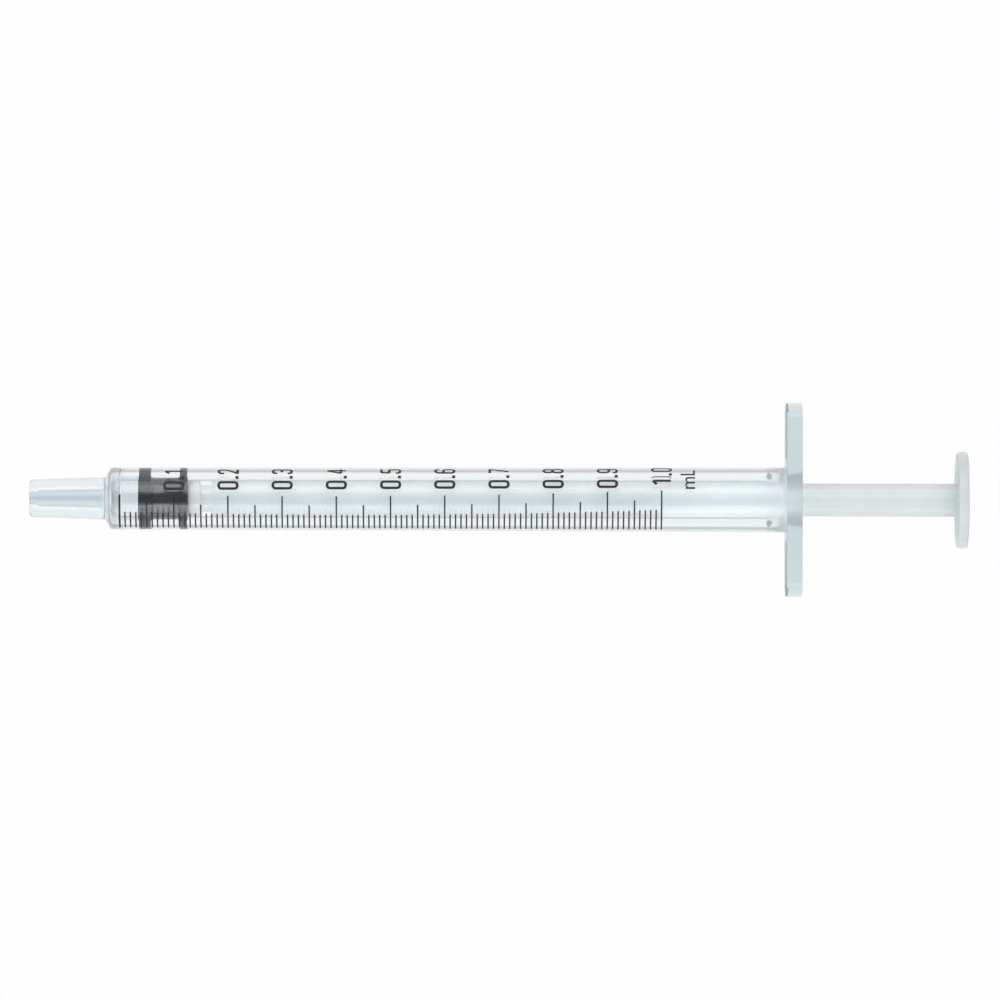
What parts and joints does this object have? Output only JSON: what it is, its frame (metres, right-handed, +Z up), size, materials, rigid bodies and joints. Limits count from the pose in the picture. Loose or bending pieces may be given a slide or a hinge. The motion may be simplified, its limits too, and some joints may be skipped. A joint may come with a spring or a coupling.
{
  "type": "tuberculin syringe",
  "caption": "Slip-tip tuberculin syringe: clear graduated barrel with finger flange, dark rubber gasket, and a ribbed plunger with a thumb disc that slides and turns.",
  "frame": {"origin": "centre of the bounding box at rest, which lies on the barrel's axis halfway along the syringe", "axes": "+X along the barrel from the slip tip towards the thumb disc, Y across the finger flange's two wings, +Z up, out of the side that the printed scale faces"},
  "size_m": [0.099, 0.0204, 0.0102],
  "materials": {
    "barrel_plastic": "clear moulded polypropylene, polished",
    "gasket_rubber": "dark grey elastomer with a thin silicone sheen",
    "plunger_plastic": "milky translucent moulded polypropylene",
    "scale_ink": "black printed ink"
  },
  "bodies": {
    "barrel": {"barrel": "barrel_plastic", "scale_graduations": "scale_ink"},
    "gasket": {"gasket": "gasket_rubber"},
    "plunger": {"plunger": "plunger_plastic"}
  },
  "joints": [
    {"name": "plunger_slide", "type": "slide", "parent": "barrel", "child": "gasket", "axis": [1, 0, 0], "range_m": [-0.002, 0.0609]},
    {"name": "plunger_turn", "type": "hinge", "parent": "gasket", "child": "plunger", "pos_m": [-0.0356, 0, 0], "axis": [1, 0, 0], "continuous": true}
  ]
}
